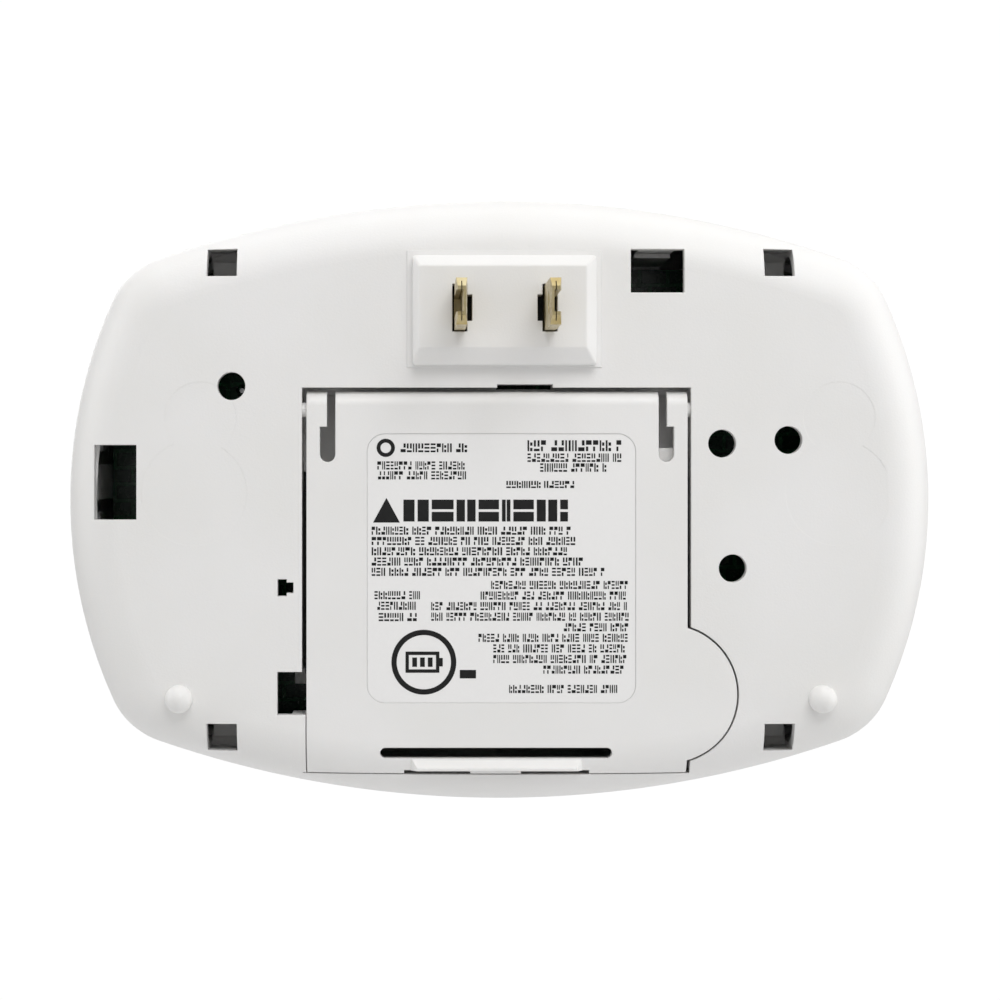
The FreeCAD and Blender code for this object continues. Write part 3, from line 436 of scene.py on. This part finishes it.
# plain dot beside the first line, a block at the foot and a battery symbol in a ring
DOT_X, DOT_Z, DOT_RADIUS, DOT_WIDTH, DOT_SIDES = -16.4, 17.1, 1.3, 0.55, 24
FOOT_BLOCK = (-5.9, -15.6, 2.3, 1.2)
CELL_X, CELL_Z = -11.0, -13.3
CELL_RING_RADIUS, CELL_RING_WIDTH = 4.6, 0.75
BATTERY_SYMBOL = [(0, 0, 1, 0.16), (0, 0.84, 1, 0.16), (0, 0.16, 0.1, 0.68), (0.9, 0.16, 0.1, 0.68),
                  (1, 0.3, 0.1, 0.4), (0.2, 0.28, 0.14, 0.44), (0.43, 0.28, 0.14, 0.44),
                  (0.66, 0.28, 0.14, 0.44)]
draw = np.random.default_rng(7)
print_shapes = []
for left, width, up, height, weight in HEAD_LINES:
    print_shapes += word_marks(left, width, up, height, weight, draw)
for line, width in enumerate(BODY_WIDTHS):
    print_shapes += word_marks(BODY_LEFT, width, BODY_TOP - BODY_PITCH * line, LETTER, 0.95, draw)
for line, width in enumerate(TAIL_WIDTHS):
    print_shapes += word_marks(TAIL_RIGHT - width, width, TAIL_TOP - TAIL_PITCH * line, LETTER, 0.8, draw)
left = HEADING_LEFT
for step, width in enumerate(HEADING_WIDTHS):
    print_shapes += mark(left, HEADING_LOW, width, HEADING_HEIGHT, HEADING_MARKS[step % 2])
    left += width + HEADING_GAP
print_shapes.append(TRIANGLE)
print_shapes += ring(DOT_X, DOT_Z, DOT_RADIUS, DOT_WIDTH, DOT_SIDES)
print_shapes.append(bar(*FOOT_BLOCK))
print_shapes += ring(CELL_X, CELL_Z, CELL_RING_RADIUS, CELL_RING_WIDTH)
print_shapes += mark(CELL_X - 2.6, CELL_Z - 1.5, 4.8, 3.0, BATTERY_SYMBOL)
raised_shapes("label_print", print_shapes)


# ---------------------------------------------------------------- stage, light and camera

def stage_sheet(name, corners, material):
    """Flat sheet that isn't part of the object."""
    mesh = bpy.data.meshes.new(name)
    mesh.from_pydata(corners, [], [list(range(len(corners)))])
    mesh.materials.append(material)
    sheet = bpy.data.objects.new(name, mesh)
    bpy.context.scene.collection.objects.link(sheet)


PAPER_GLOW = 0.52


def backdrop_paper():
    """Seamless white paper, lit evenly enough to run into the white behind it."""
    material, tree, surface, place = blank_material("seamless_white_paper")
    fibre = grain(tree, place, 60)
    tree.links.new(tint(tree, fibre, "#F6F6F6", "#FAFAFA"), surface.inputs["Base Color"])
    surface.inputs["Roughness"].default_value = 0.9
    seen = add(tree, "ShaderNodeLightPath").outputs["Is Camera Ray"]
    glow = add(tree, "ShaderNodeMapRange", Value=seen, To_Min=0.0, To_Max=PAPER_GLOW).outputs[0]
    tree.links.new(glow, surface.inputs["Emission Strength"])
    return material


def soft_light(name, place, target, size, power):
    """White rectangular softbox at a place, turned to a target; metres and watts."""
    lamp = bpy.data.lights.new(name, "AREA")
    lamp.shape = "RECTANGLE"
    lamp.size, lamp.size_y = size
    lamp.energy = power
    holder = bpy.data.objects.new(name, lamp)
    holder.location = place
    holder.rotation_euler = (Vector(target) - Vector(place)).to_track_quat("-Z", "Y").to_euler()
    bpy.context.scene.collection.objects.link(holder)


case_low, case_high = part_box("back_cover")
case_centre = (case_low + case_high) / 2
FLOOR_DROP = 0.45
FLOOR_REACH = 2
floor_z = case_low.z - FLOOR_DROP
stage_sheet("floor", [(x * FLOOR_REACH, y * FLOOR_REACH, floor_z)
                      for x, y in ((-1, -1), (1, -1), (1, 1), (-1, 1))], backdrop_paper())

world = bpy.data.worlds.new("studio")
world.use_nodes = True
bpy.context.scene.world = world
sky = world.node_tree
# soft fill that fades along FILL_FADES, towards the lower left of the view; the camera sees even white
FILL_FADES = (0.45, 0.0, -0.89)
FILL_MOST, FILL_LEAST = 0.63, 0.29
BACKGROUND = 1.02
seen = add(sky, "ShaderNodeLightPath").outputs["Is Camera Ray"]
towards = add(sky, "ShaderNodeVectorMath", {"operation": "DOT_PRODUCT"}, i0=add(
    sky, "ShaderNodeTexCoord").outputs["Generated"], i1=FILL_FADES).outputs["Value"]
fill = add(sky, "ShaderNodeMapRange", Value=towards, From_Min=-1.0, From_Max=1.0, To_Min=FILL_MOST,
           To_Max=FILL_LEAST).outputs[0]
strength = add(sky, "ShaderNodeMapRange", Value=seen, To_Min=fill, To_Max=BACKGROUND).outputs[0]
sky.links.new(strength, sky.nodes["Background"].inputs["Strength"])
sky.nodes["Background"].inputs["Color"].default_value = (1, 1, 1, 1)

# name, place (m), width and height (m), power (W)
SOFTBOXES = [
    ("front_softbox", (-0.12, 0.48, 0.46), (0.5, 0.35), 2.28),
    ("overhead_softbox", (0.0, -0.06, 0.6), (0.6, 0.4), 0.94),
    ("right_softbox", (-0.6, 0.03, 0.06), (0.35, 0.5), 1.2),
    ("left_softbox", (0.6, 0.03, 0.12), (0.35, 0.4), 0.95),
    ("far_side_softbox", (0.16, -0.62, 0.14), (0.45, 0.4), 1.2),
]
middle = (case_centre.x, 0, case_centre.z)
for name, place, size, power in SOFTBOXES:
    soft_light(name, place, middle, size, power)

# the view is square on to the back, with the lens axis a little to one side of the case's middle and
# above it; metres, the width being what the view takes in at the case's back
VIEW_DISTANCE = 0.380
VIEW_WIDTH = 0.1418
AXIS_OFFSET = 0.0120
AXIS_RISE = 0.0050
CENTRING = 0.0001
SENSOR_MM = 36
lens = bpy.data.cameras.new("camera")
lens.sensor_width = SENSOR_MM
lens.lens = SENSOR_MM * VIEW_DISTANCE / VIEW_WIDTH
lens.shift_x = (AXIS_OFFSET - CENTRING) / VIEW_WIDTH
lens.shift_y = -AXIS_RISE / VIEW_WIDTH
lens.clip_start = 0.01
camera = bpy.data.objects.new("camera", lens)
camera.location = (case_centre.x + AXIS_OFFSET, BACK_FACE + VIEW_DISTANCE,
                   case_centre.z + AXIS_RISE)
camera.rotation_euler = (math.pi / 2, 0, math.pi)
bpy.context.scene.collection.objects.link(camera)
bpy.context.scene.camera = camera
bpy.context.scene.view_settings.view_transform = "Standard"
